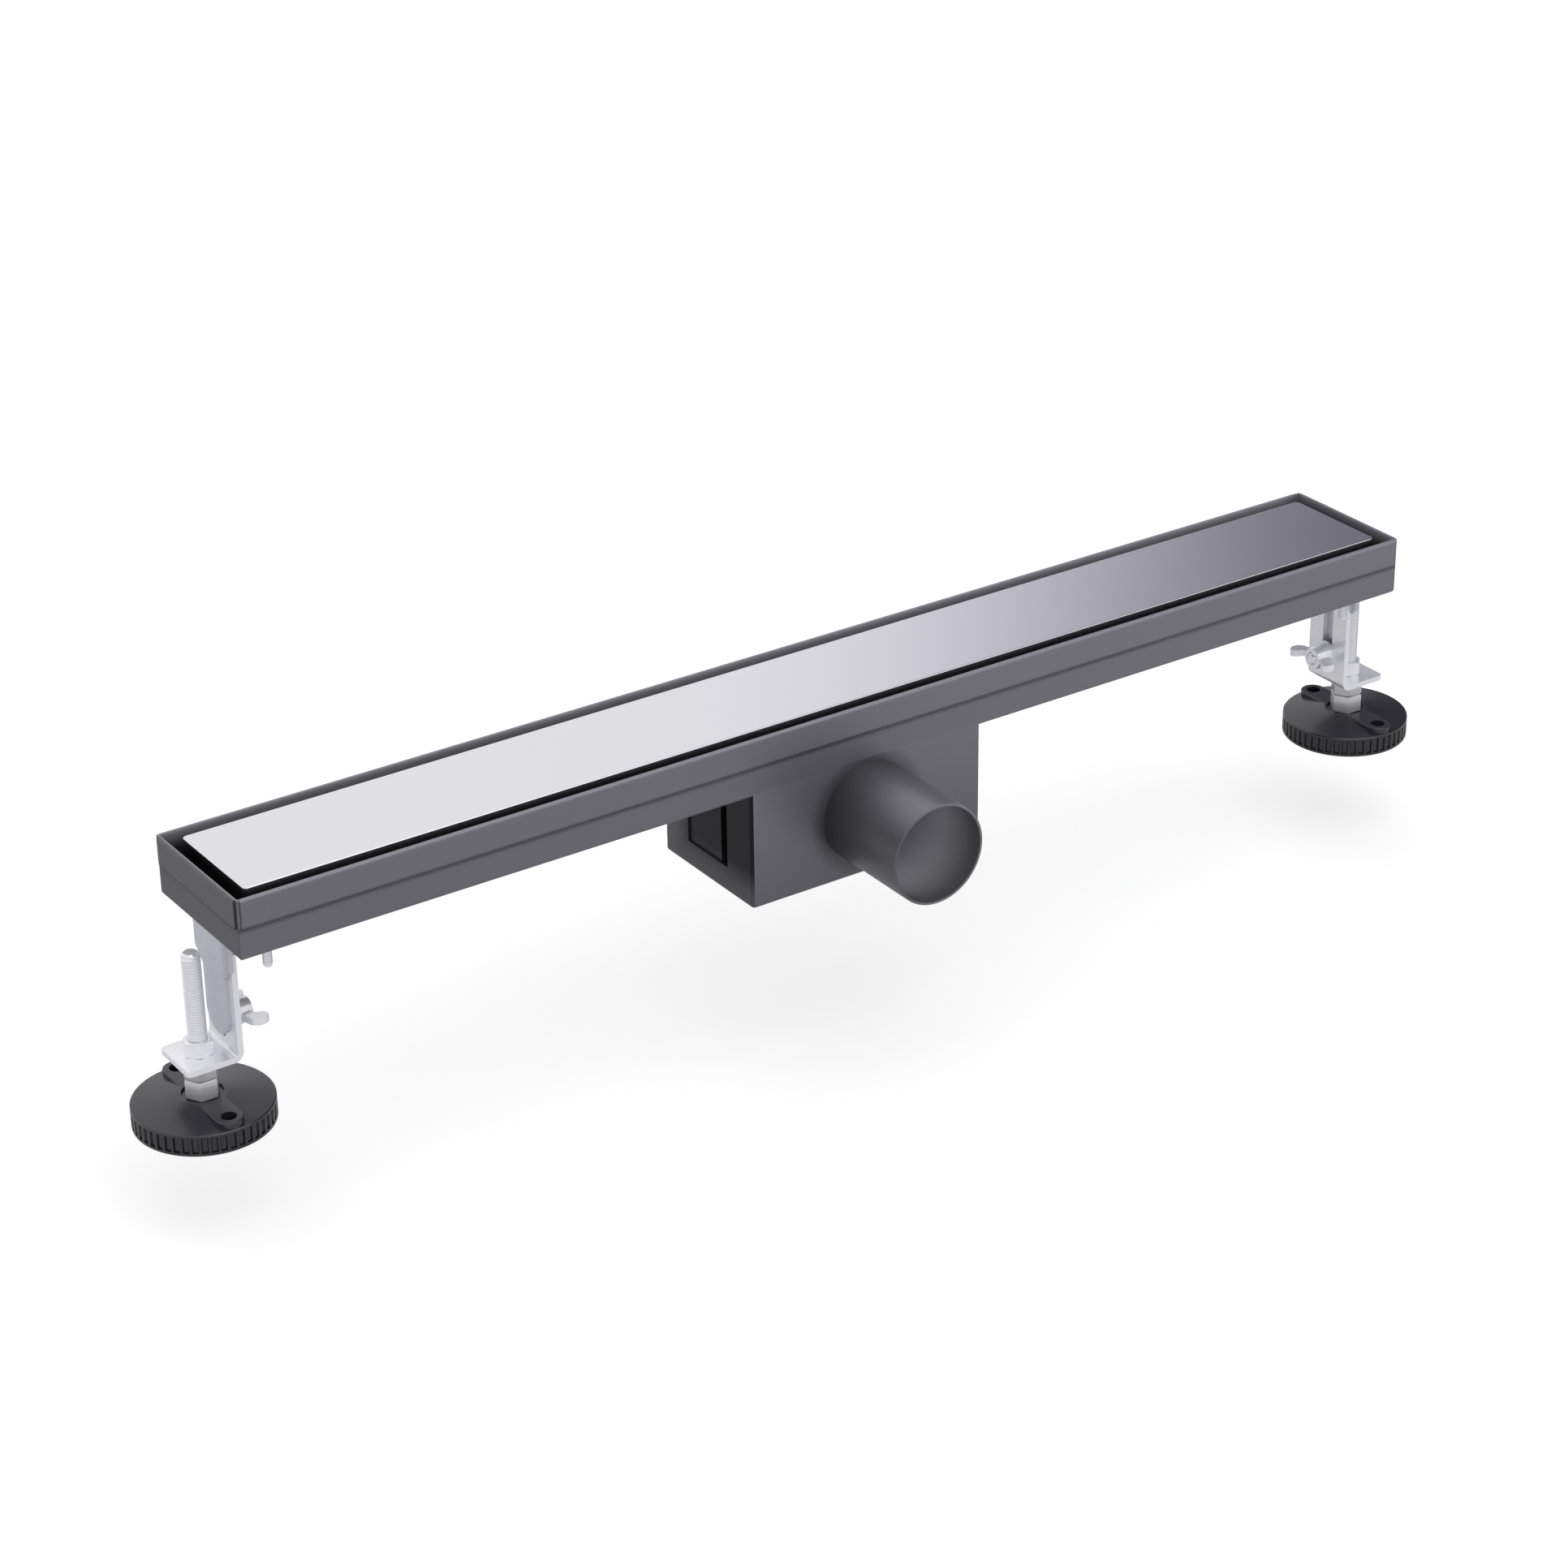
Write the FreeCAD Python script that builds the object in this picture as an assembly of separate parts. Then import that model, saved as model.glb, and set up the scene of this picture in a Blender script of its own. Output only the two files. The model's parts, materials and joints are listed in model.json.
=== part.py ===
import FreeCAD, Part
import math
import os

# Linear shower drain: a long folded stainless channel with a flush cover plate,
# a trap box with a side outlet under its middle, and two levelling legs at its ends.
# Frame: the origin is the centre of the cover's top face, which lies at floor level.
# X runs along the channel, Z is up, and the outlet points along -Y. Sizes are in mm.

# Channel: a trough folded from one sheet, with its top edge hemmed outwards.
channel_length = 600.0
channel_width = 70.0
channel_height = 27.0
sheet = 0.8
hem_height = 13.0
hem_corner_notch = 2.2
rim_round = 0.7
hem_lip_round = 0.7
bend_outside = 1.8
bend_inside = 1.0

# Shallow dish pressed into the floor round the drain hole.
dish_depth = 3.0
dish_length = 100.0
dish_side_gap = 0.9
dish_slope = 3.0
dish_margin = 1.0
drain_hole_clearance = 0.5

# Cover plate: an inverted shallow tray, clear of the channel walls all round.
cover_gap = 6.5
cover_sheet = 1.2
cover_skirt = 10.0
cover_corner = 2.0
cover_edge_round = 0.5

# Folded supports that carry the cover on the channel floor.
support_sheet = 1.2
support_strip = 15.0
support_from_end = 60.0
support_from_dish = 40.0
support_leg_spacing = 36.0
support_side_clearance = 0.5
support_bend = 1.5

# Trap box welded under the channel, flush with the lower band of its walls.
box_length = 120.0
box_bottom = 80.0
box_sheet = 1.0
box_corner = 2.0
box_edge = 1.5

# Pressings in each end wall of the trap box: a flat panel and a deep groove beside it.
panel_back = 15.6
panel_front = -9.0
panel_depth = 1.0
groove_width = 6.0
groove_depth = 5.0
pressing_bottom = 68.0

# Outlet: a plain tube welded to the front of the trap box.
outlet_diameter = 46.0
outlet_wall = 1.2
outlet_reach = 85.0
outlet_level = 50.2

# Trap core that drops through the drain hole, with its seal, valve and strainer.
core_flange_clearance = 0.5
core_flange = 2.0
core_flange_overhang = 5.0
core_wall = 2.0
core_bottom = 52.0
core_shelf = 2.0
core_shelf_width = 5.5
seal_thickness = 1.0
seal_clearance = 0.2
seal_inset = 0.5
valve_flange = 1.5
valve_flange_clearance = 0.3
valve_clearance = 1.0
valve_wall = 1.2
valve_tip = 68.0
valve_tip_inset = 4.0
valve_tip_thickness = 3.0
strainer_sheet = 0.8
strainer_rim_overhang = 1.0
strainer_rim_clearance = 0.2
strainer_basket_clearance = 0.2
strainer_depth = 11.0
strainer_hole = 3.6
strainer_hole_edge = 0.8
strainer_rings = 3

# Hanger: a folded bracket bolted under each end of the floor, with a hanging tab.
hanger_sheet = 2.0
hanger_inset = 4.5
hanger_reach = 23.5
hanger_width = 50.0
hanger_bend = 2.0
hanger_shoulder_width = 30.0
hanger_shoulder_level = 42.0
tab_width = 18.0
tab_level = 76.0
shoulder_fall = 6.0

# Studs on the channel's underside and their nuts, which hold the hanger.
hanger_stud_diameter = 4.0
hanger_stud_length = 14.0
hanger_stud_spacing = 40.0
hanger_stud_inset = 19.0
hanger_stud_clearance = 0.25
hanger_nut_flats = 7.0
hanger_nut_height = 3.2
stud_root_gap = 0.05

# Clamp stud welded to the tab, which the slotted leg bracket slides on.
clamp_diameter = 6.0
clamp_level = 69.0
clamp_length = 12.5
washer_thickness = 1.2
washer_diameter = 13.5
washer_clearance = 0.3

# Leg bracket: a slotted plate with a flange that carries the levelling spindle.
leg_width = 25.0
leg_sheet = 2.5
leg_top = 36.0
leg_flange_level = 82.0
leg_flange_reach = 25.0
leg_bend = 2.0
leg_corner = 2.0
slot_width = 6.6
slot_top = 40.0
slot_bottom = 78.0
spindle_passage = 9.0

# Wing nut: a tapered hub with two ears.
wing_hub_base = 12.5
wing_hub_nose = 10.0
wing_hub_height = 8.0
wing_height = 11.5
wing_span = 27.0
wing_thickness = 3.2
wing_base_level = 1.8
wing_bore_clearance = 0.08

# Levelling spindle: a threaded rod with a hexagon above the foot.
foot_offset = 4.8
spindle_diameter = 8.0
spindle_top = 36.0
spindle_flats = 13.0
spindle_hex_height = 9.0
spindle_hex_gap = 0.4
spindle_running = 0.08
spindle_tail = 6.0
spindle_tail_gap = 0.3
spindle_end_chamfer = 0.8
fixed_nut_flats = 13.0
fixed_nut_height = 7.5
lock_nut_flats = 11.0
lock_nut_height = 6.5
lock_nut_turn = 11.0
nut_chamfer = 0.9

# Foot: a round moulded base with a ribbed rim, a low cone and a raised bar for two screws.
foot_diameter = 59.0
foot_rim_height = 9.4
foot_cone_rise = 3.0
foot_hub_diameter = 20.0
foot_recess_diameter = 17.5
foot_recess_depth = 1.0
foot_wall = 2.5
foot_base_band = 1.2
foot_top_band = 1.3
foot_ribs = 48
foot_rib_depth = 0.8
foot_rib_share = 0.5
foot_rib_crest = 0.6
bar_width = 12.0
bar_edge_round = 0.6
screw_spacing = 46.0
screw_hole = 6.5
screw_boss = 11.0
web_thickness = 2.0
web_count = 8

# Small values that boolean operations need.
overcut = 1.0
tiny = 0.001


def box(x_low, x_high, y_low, y_high, z_low, z_high):
    """Solid block between two corners."""
    corner = FreeCAD.Vector(x_low, y_low, z_low)
    return Part.makeBox(x_high - x_low, y_high - y_low, z_high - z_low, corner)


def centred_box(length, width, z_low, z_high):
    """Solid block centred on the Z axis."""
    return box(-length / 2, length / 2, -width / 2, width / 2, z_low, z_high)


def rod(radius, start, end):
    """Solid cylinder from one point to another."""
    start = FreeCAD.Vector(*start)
    direction = FreeCAD.Vector(*end) - start
    return Part.makeCylinder(radius, direction.Length, start, direction)


def upright(radius, x, y, z_low, z_high):
    """Solid upright cylinder."""
    return rod(radius, (x, y, z_low), (x, y, z_high))


def prism(points, travel):
    """Solid made by pushing a closed outline of points along a vector."""
    corners = [FreeCAD.Vector(*point) for point in points]
    outline = Part.makePolygon(corners + corners[:1])
    return Part.Face(outline).extrude(FreeCAD.Vector(*travel))


def turned(profile, x=0.0, y=0.0):
    """Solid of revolution about an upright axis; the profile is a list of radius and level."""
    corners = [FreeCAD.Vector(x + radius, y, level) for radius, level in profile]
    outline = Part.makePolygon(corners + corners[:1])
    return Part.Face(outline).revolve(FreeCAD.Vector(x, y, 0), FreeCAD.Vector(0, 0, 1), 360)


def fuse(first, *others):
    """One solid from several, with the seams between them removed."""
    return first.multiFuse(list(others)).removeSplitter()


def upright_edges(shape):
    """Edges of a shape that run parallel to Z."""
    return [edge for edge in shape.Edges
            if edge.BoundBox.XLength < tiny and edge.BoundBox.YLength < tiny]


def level_edges(shape, level):
    """Edges of a shape that lie wholly at one height."""
    return [edge for edge in shape.Edges
            if abs(edge.BoundBox.ZMin - level) < tiny and abs(edge.BoundBox.ZMax - level) < tiny]


def edges_through(shape, axis, *places):
    """Straight edges along one axis that pass through any of the given places across it."""
    found = []
    for edge in shape.Edges:
        bounds = edge.BoundBox
        low = {"X": (bounds.YMin, bounds.ZMin), "Y": (bounds.XMin, bounds.ZMin)}[axis]
        high = {"X": (bounds.YMax, bounds.ZMax), "Y": (bounds.XMax, bounds.ZMax)}[axis]
        for place in places:
            if math.dist(low, place) < tiny and math.dist(high, place) < tiny:
                found.append(edge)
    return found


def hexagon(flats, x, y, z_low, z_high, chamfer_low, chamfer_high):
    """Upright hexagonal prism with its corners turned off at the chosen ends."""
    corner_radius = flats / math.sqrt(3)
    points = []
    for corner in range(6):
        angle = math.radians(60 * corner)
        points.append((x + corner_radius * math.cos(angle), y + corner_radius * math.sin(angle), z_low))
    blank = prism(points, (0, 0, z_high - z_low))
    drop = nut_chamfer / 2
    profile = [(0, z_low), (corner_radius - chamfer_low, z_low),
               (corner_radius, z_low + drop * bool(chamfer_low)),
               (corner_radius, z_high - drop * bool(chamfer_high)),
               (corner_radius - chamfer_high, z_high), (0, z_high)]
    if not chamfer_low:
        profile.pop(2)
    if not chamfer_high:
        profile.pop(-3)
    return blank.common(turned(profile, x, y))


# Levels and half sizes that several pieces share.
floor_underside = -channel_height
floor_top = floor_underside + sheet
band_half_length = channel_length / 2 - sheet
band_half_width = channel_width / 2 - sheet
inner_half_length = band_half_length - sheet
inner_half_width = band_half_width - sheet
cover_half_length = inner_half_length - cover_gap
cover_half_width = inner_half_width - cover_gap
dish_top = floor_top - dish_depth
dish_half_width = inner_half_width - bend_inside - dish_side_gap
core_flange_radius = dish_half_width - dish_slope - core_flange_clearance
seal_radius = core_flange_radius - seal_inset
core_radius = core_flange_radius - core_flange_overhang
drain_hole_radius = core_radius + drain_hole_clearance
core_bore = core_radius - core_wall
shelf_opening_radius = core_bore - core_shelf_width
valve_radius = shelf_opening_radius - valve_clearance


def trough_block():
    """The channel's outer form below the hem, as one solid block."""
    trough = centred_box(2 * band_half_length, 2 * band_half_width, floor_underside, 0)
    return trough.makeFillet(bend_outside, level_edges(trough, floor_underside))


def channel_sheet():
    """Hemmed trough with a dished floor round the drain hole, as one sheet."""
    trough = trough_block()
    hollow = centred_box(2 * inner_half_length, 2 * inner_half_width, floor_top, overcut)
    hollow = hollow.makeFillet(bend_inside, level_edges(hollow, floor_top))
    hem = centred_box(channel_length, channel_width, -hem_height, 0)
    hem = hem.makeFillet(rim_round, level_edges(hem, 0))
    hem = hem.makeFillet(hem_lip_round, level_edges(hem, -hem_height))
    rim_groove = centred_box(2 * band_half_length, 2 * band_half_width, -hem_height - overcut, overcut)
    for x_side in (-1, 1):
        for y_side in (-1, 1):
            notch_x = x_side * channel_length / 2
            notch_y = y_side * channel_width / 2
            notch = centred_box(2 * hem_corner_notch, 2 * hem_corner_notch, -hem_height - overcut, overcut)
            hem = hem.cut(notch.translated(FreeCAD.Vector(notch_x, notch_y, 0)))
    walls = fuse(trough, hem.cut(rim_groove)).cut(hollow)
    half_length = dish_length / 2
    half_width = dish_half_width
    outlines = []
    for inset, level in ((0, floor_top), (dish_slope, dish_top)):
        corners = [(-half_length + inset, -half_width + inset), (half_length - inset, -half_width + inset),
                   (half_length - inset, half_width - inset), (-half_length + inset, half_width - inset)]
        points = [FreeCAD.Vector(x, y, level) for x, y in corners]
        outlines.append(Part.makePolygon(points + points[:1]))
    dish = Part.makeLoft(outlines, True, True)
    pressed = fuse(walls, dish.translated(FreeCAD.Vector(0, 0, -sheet))).cut(dish)
    return pressed.cut(upright(drain_hole_radius, 0, 0, dish_top - 2 * sheet, floor_top))


def channel_pieces():
    """The channel as it is welded up: the trough, its two ends and the dished middle of its floor."""
    sheet_metal = channel_sheet()
    flat_half_length = inner_half_length - bend_inside
    flat_half_width = inner_half_width - bend_inside
    middle = centred_box(dish_length + 2 * dish_margin, 2 * flat_half_width, -2 * channel_height, 0)
    trough = centred_box(2 * flat_half_length, 2 * channel_width, -2 * channel_height, overcut).cut(middle)
    left_end = box(-channel_length, -flat_half_length, -channel_width, channel_width,
                   -2 * channel_height, overcut)
    right_end = box(flat_half_length, channel_length, -channel_width, channel_width,
                    -2 * channel_height, overcut)
    return {
        "channel_body": sheet_metal.common(trough),
        "channel_end_left": sheet_metal.common(left_end),
        "channel_end_right": sheet_metal.common(right_end),
        "drain_dish": sheet_metal.common(middle),
    }


def cover_plate():
    """Inverted tray whose flat top lies flush with the channel's rim."""
    plate = centred_box(2 * cover_half_length, 2 * cover_half_width, -cover_skirt, 0)
    plate = plate.makeFillet(cover_corner, upright_edges(plate))
    plate = plate.makeFillet(cover_edge_round, level_edges(plate, 0))
    hollow = centred_box(2 * (cover_half_length - cover_sheet), 2 * (cover_half_width - cover_sheet),
                         -cover_skirt - overcut, -cover_sheet)
    hollow = hollow.makeFillet(cover_corner - cover_sheet, upright_edges(hollow))
    return plate.cut(hollow)


def cover_support(place):
    """Folded strip that stands on the channel floor, carries the cover and centres it."""
    low_x = place - support_strip / 2
    high_x = place + support_strip / 2
    top = -cover_sheet
    leg = support_leg_spacing / 2
    toe = inner_half_width - support_side_clearance
    bridge = box(low_x, high_x, -leg, leg, floor_top, top)
    toes = box(low_x, high_x, -toe, toe, floor_top, floor_top + support_sheet)
    arch = box(low_x, high_x, support_sheet - leg, leg - support_sheet,
               floor_top - overcut, top - support_sheet)
    strip = fuse(bridge, toes).cut(arch)
    outside = [(-leg, top), (leg, top)]
    strip = strip.makeFillet(support_bend, edges_through(strip, "X", *outside))
    corners = [(side * leg, floor_top + support_sheet) for side in (-1, 1)]
    return strip.makeFillet(support_bend, edges_through(strip, "X", *corners))


def trap_box():
    """Welded box under the drain hole, open at the top, with pressed end walls."""
    weld_top = floor_underside + bend_outside
    outside = centred_box(box_length, 2 * band_half_width, -box_bottom, weld_top)
    outside = outside.makeFillet(box_corner, upright_edges(outside))
    outside = outside.makeFillet(box_edge, level_edges(outside, -box_bottom))
    inside = centred_box(box_length - 2 * box_sheet, 2 * (band_half_width - box_sheet),
                         -box_bottom + box_sheet, weld_top + overcut)
    inside = inside.makeFillet(box_corner - box_sheet, upright_edges(inside))
    pressings = []
    for side in (-1, 1):
        wall = side * box_length / 2
        for y_low, y_high, depth in ((panel_front, panel_back, panel_depth),
                                     (panel_front - groove_width, panel_front, groove_depth)):
            face_x = sorted((wall + side * overcut, wall - side * depth))
            back_x = sorted((wall, wall - side * (depth + box_sheet)))
            pressings.append(box(*face_x, y_low, y_high, -pressing_bottom, weld_top + overcut))
            bulge = box(*back_x, y_low - box_sheet, y_high + box_sheet,
                        -pressing_bottom - box_sheet, weld_top + 2 * overcut)
            inside = inside.cut(bulge)
    shell = outside.cut(inside)
    for pressing in pressings:
        shell = shell.cut(pressing)
    waterway = rod(outlet_diameter / 2 - outlet_wall, (0, -band_half_width - overcut, -outlet_level),
                   (0, 0, -outlet_level))
    return shell.cut(waterway).cut(trough_block())


def outlet_pipe():
    """Plain tube butted and welded against the front of the trap box."""
    start = (0, -band_half_width, -outlet_level)
    end = (0, -outlet_reach, -outlet_level)
    tube = rod(outlet_diameter / 2, start, end)
    past = (0, -outlet_reach - overcut, -outlet_level)
    return tube.cut(rod(outlet_diameter / 2 - outlet_wall, (0, 0, -outlet_level), past))


core_seat = dish_top + seal_thickness
core_top = core_seat + core_flange


def core_seal():
    """Flat rubber ring between the dish and the trap core's flange."""
    inner = core_radius + seal_clearance
    return turned([(inner, dish_top), (seal_radius, dish_top), (seal_radius, core_seat), (inner, core_seat)])


def trap_core():
    """Moulded cup whose flange rests on the seal and whose shelf carries the valve."""
    rim_recess = core_radius + strainer_rim_overhang + strainer_rim_clearance
    shelf = -core_bottom + core_shelf
    return turned([(shelf_opening_radius, -core_bottom), (core_radius, -core_bottom),
                   (core_radius, core_seat), (core_flange_radius, core_seat),
                   (core_flange_radius, core_top), (rim_recess, core_top),
                   (rim_recess, core_top - strainer_sheet), (core_bore, core_top - strainer_sheet),
                   (core_bore, shelf), (shelf_opening_radius, shelf)])


def membrane_valve():
    """Soft sleeve that flattens to a slit, so that water passes down and air stays below."""
    shelf = -core_bottom + core_shelf
    flange_radius = core_bore - valve_flange_clearance
    flange = upright(flange_radius, 0, 0, shelf, shelf + valve_flange)

    def sleeve(radius, tip_half_width, tip_half_thickness, top, tip):
        ring = Part.Wire(Part.makeCircle(radius, FreeCAD.Vector(0, 0, top)))
        slit = Part.Ellipse(FreeCAD.Vector(0, 0, tip), tip_half_width, tip_half_thickness)
        return Part.makeLoft([ring, Part.Wire(slit.toShape())], True, True)

    tip_half_width = core_radius - valve_tip_inset
    outside = sleeve(valve_radius, tip_half_width, valve_tip_thickness / 2, shelf, -valve_tip)
    inside = sleeve(valve_radius - valve_wall, tip_half_width - valve_wall,
                    valve_tip_thickness / 2 - valve_wall, shelf, -valve_tip)
    throat = upright(valve_radius - valve_wall, 0, 0, shelf, shelf + 2 * valve_flange)
    return fuse(flange, outside).cut(inside).cut(throat)


def strainer_pieces():
    """Basket that hangs in the top of the trap core: a rimmed wall and the sieve in its bottom."""
    rim = core_radius + strainer_rim_overhang
    wall = core_bore - strainer_basket_clearance
    inside = wall - strainer_sheet
    bottom = core_top - strainer_depth
    under_rim = core_top - strainer_sheet
    sieve_top = bottom + strainer_sheet
    basket = turned([(inside, sieve_top), (wall, sieve_top), (wall, under_rim), (rim, under_rim),
                     (rim, core_top), (inside, core_top)])
    sieve = upright(wall, 0, 0, bottom, sieve_top)
    pitch = (inside - strainer_hole_edge - strainer_hole / 2) / strainer_rings
    holes = [upright(strainer_hole / 2, 0, 0, bottom - overcut, bottom + 2 * strainer_sheet)]
    for ring in range(1, strainer_rings + 1):
        for step in range(6 * ring):
            angle = 2 * math.pi * step / (6 * ring)
            radius = ring * pitch
            holes.append(upright(strainer_hole / 2, radius * math.cos(angle), radius * math.sin(angle),
                                 bottom - overcut, bottom + 2 * strainer_sheet))
    return {"hair_strainer": basket, "strainer_sieve": sieve.cut(Part.makeCompound(holes))}


# Places of the left leg; the right leg is its mirror image.
tab_outside = -(channel_length / 2 - hanger_inset)
tab_inside = tab_outside + hanger_sheet
leg_inside = tab_inside + leg_sheet
washer_inside = leg_inside + washer_thickness
hanger_underside = floor_underside - hanger_sheet
hanger_stud_x = -(channel_length / 2 - hanger_stud_inset)
leg_flange_underside = -leg_flange_level - leg_sheet
foot_x = -(channel_length / 2 + foot_offset)
nut_underside = leg_flange_underside - fixed_nut_height
hex_top = nut_underside - spindle_hex_gap
hex_bottom = hex_top - spindle_hex_height
foot_top = hex_bottom + foot_recess_depth
foot_base = foot_top - foot_cone_rise - foot_rim_height


def hanger_studs():
    """Two studs welded to the floor's underside."""
    ends = [upright(hanger_stud_diameter / 2, hanger_stud_x, side * hanger_stud_spacing / 2,
                    floor_underside - hanger_stud_length, floor_underside) for side in (-1, 1)]
    return Part.makeCompound(ends)


def hanger_bracket():
    """Folded bracket: a plate under the floor and a tab that hangs from its outer edge."""
    half = hanger_width / 2
    shoulder = hanger_shoulder_width / 2
    tab_half = tab_width / 2
    inner_x = tab_outside + hanger_reach
    plate = box(tab_outside, inner_x, -half, half, hanger_underside, floor_underside)
    drop = box(tab_outside, tab_inside, -half, half, -tab_level, floor_underside)
    bracket = fuse(plate, drop)
    inner_bend = edges_through(bracket, "Y", (tab_inside, hanger_underside))
    bracket = bracket.makeFillet(hanger_bend, inner_bend)
    outer_bend = edges_through(bracket, "Y", (tab_outside, floor_underside))
    bracket = bracket.makeFillet(hanger_bend + hanger_sheet, outer_bend)
    round_centre = -tab_level + tab_half
    narrow = -hanger_shoulder_level - shoulder_fall
    bend_end = tab_inside + hanger_bend
    outline = [(-shoulder, floor_underside), (-shoulder, -hanger_shoulder_level), (-tab_half, narrow),
               (-tab_half, round_centre), (tab_half, round_centre), (tab_half, narrow),
               (shoulder, -hanger_shoulder_level), (shoulder, floor_underside)]
    kept_drop = prism([(tab_outside, y, z) for y, z in outline], (bend_end - tab_outside, 0, 0))
    kept_end = rod(tab_half, (tab_outside, 0, round_centre), (bend_end, 0, round_centre))
    kept_plate = box(bend_end, inner_x, -half, half, hanger_underside, floor_underside)
    bracket = bracket.common(fuse(kept_drop, kept_end, kept_plate))
    for side in (-1, 1):
        y = side * hanger_stud_spacing / 2
        bracket = bracket.cut(upright(hanger_stud_diameter / 2 + hanger_stud_clearance, hanger_stud_x, y,
                                      hanger_underside - overcut, floor_underside + overcut))
    return bracket


def hanger_nuts():
    """Nuts on the two studs, tight against the hanger's plate."""
    nuts = []
    for side in (-1, 1):
        y = side * hanger_stud_spacing / 2
        nut = hexagon(hanger_nut_flats, hanger_stud_x, y, hanger_underside - hanger_nut_height,
                      hanger_underside, nut_chamfer, 0)
        nuts.append(nut.cut(upright(hanger_stud_diameter / 2 + stud_root_gap, hanger_stud_x, y,
                                    hanger_underside - 2 * hanger_nut_height, floor_underside)))
    return Part.makeCompound(nuts)


def clamp_stud():
    """Stud welded to the tab, pointing to the middle of the drain."""
    stud_end = tab_inside + clamp_length
    stud = rod(clamp_diameter / 2, (tab_inside, 0, -clamp_level), (stud_end, 0, -clamp_level))
    tip = [edge for edge in stud.Edges if abs(edge.BoundBox.XMin - stud_end) < tiny]
    return stud.makeChamfer(clamp_diameter / 8, tip)


def leg_bracket():
    """Slotted plate folded into a flange at its foot."""
    half = leg_width / 2
    outer_x = leg_inside - leg_flange_reach
    plate = box(tab_inside, leg_inside, -half, half, leg_flange_underside, -leg_top)
    flange = box(outer_x, leg_inside, -half, half, leg_flange_underside, -leg_flange_level)
    bracket = fuse(plate, flange)
    bracket = bracket.makeFillet(leg_bend, edges_through(bracket, "Y", (tab_inside, -leg_flange_level)))
    bracket = bracket.makeFillet(leg_bend + leg_sheet,
                                 edges_through(bracket, "Y", (leg_inside, leg_flange_underside)))
    corners = [edge for edge in upright_edges(bracket) if abs(edge.BoundBox.XMin - outer_x) < tiny]
    bracket = bracket.makeFillet(leg_corner, corners)
    slot_half = slot_width / 2
    slot = box(tab_inside - overcut, leg_inside + overcut, -slot_half, slot_half,
               -slot_bottom + slot_half, -slot_top - slot_half)
    for level in (-slot_bottom + slot_half, -slot_top - slot_half):
        slot = slot.fuse(rod(slot_half, (tab_inside - overcut, 0, level), (leg_inside + overcut, 0, level)))
    passage = upright(spindle_passage / 2, foot_x, 0, leg_flange_underside - overcut,
                      -leg_flange_level + overcut)
    return bracket.cut(slot).cut(passage)


def clamp_washer():
    """Plain washer between the leg bracket and the wing nut."""
    washer = rod(washer_diameter / 2, (leg_inside, 0, -clamp_level), (washer_inside, 0, -clamp_level))
    return washer.cut(rod(clamp_diameter / 2 + washer_clearance, (leg_inside - overcut, 0, -clamp_level),
                          (washer_inside + overcut, 0, -clamp_level)))


def wing_nut():
    """Tapered hub with two ears that rise away from the washer."""
    hub = Part.makeCone(wing_hub_base / 2, wing_hub_nose / 2, wing_hub_height)
    root = wing_hub_nose / 4
    reach = wing_span / 2
    waist = wing_hub_height * 0.8
    ear_low = FreeCAD.Vector(root, 0, wing_base_level)
    ear_heel = FreeCAD.Vector(reach * 0.72, 0, wing_height * 0.28)
    ear_side = FreeCAD.Vector(reach, 0, wing_height * 0.64)
    ear_tip = FreeCAD.Vector(reach * 0.86, 0, wing_height)
    ear_back = FreeCAD.Vector(reach * 0.62, 0, wing_height * 0.8)
    ear_root = FreeCAD.Vector(root, 0, waist)
    ear_waist = FreeCAD.Vector(reach * 0.42, 0, waist * 0.97)
    outline = Part.Wire([Part.LineSegment(ear_low, ear_heel).toShape(),
                         Part.Arc(ear_heel, ear_side, ear_tip).toShape(),
                         Part.Arc(ear_tip, (ear_tip + ear_back) * 0.5 + FreeCAD.Vector(-0.6, 0, 0.5),
                                  ear_back).toShape(),
                         Part.Arc(ear_back, ear_waist, ear_root).toShape(),
                         Part.LineSegment(ear_root, ear_low).toShape()])
    ear = Part.Face(outline).extrude(FreeCAD.Vector(0, wing_thickness, 0))
    ear = ear.translated(FreeCAD.Vector(0, -wing_thickness / 2, 0))
    other = ear.rotated(FreeCAD.Vector(0, 0, 0), FreeCAD.Vector(0, 0, 1), 180)
    nut = fuse(hub, ear, other)
    nut = nut.cut(upright(clamp_diameter / 2 + wing_bore_clearance, 0, 0, -overcut, wing_height))
    nut = nut.rotated(FreeCAD.Vector(0, 0, 0), FreeCAD.Vector(0, 0, 1), 90)
    nut = nut.rotated(FreeCAD.Vector(0, 0, 0), FreeCAD.Vector(0, 1, 0), 90)
    return nut.translated(FreeCAD.Vector(washer_inside, 0, -clamp_level))


def fixed_nut():
    """Nut welded under the leg flange, which the spindle turns in."""
    nut = hexagon(fixed_nut_flats, foot_x, 0, nut_underside, leg_flange_underside, nut_chamfer, nut_chamfer)
    return nut.cut(upright(spindle_diameter / 2 + spindle_running, foot_x, 0,
                           nut_underside - overcut, leg_flange_underside + overcut))


def lock_nut():
    """Small nut tightened down on the flange, turned a little as it came to rest."""
    seat = -leg_flange_level
    nut = hexagon(lock_nut_flats, foot_x, 0, seat, seat + lock_nut_height, nut_chamfer, nut_chamfer)
    nut = nut.cut(upright(spindle_diameter / 2 + spindle_running, foot_x, 0,
                          seat - overcut, seat + lock_nut_height + overcut))
    return nut.rotated(FreeCAD.Vector(foot_x, 0, 0), FreeCAD.Vector(0, 0, 1), lock_nut_turn)


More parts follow.
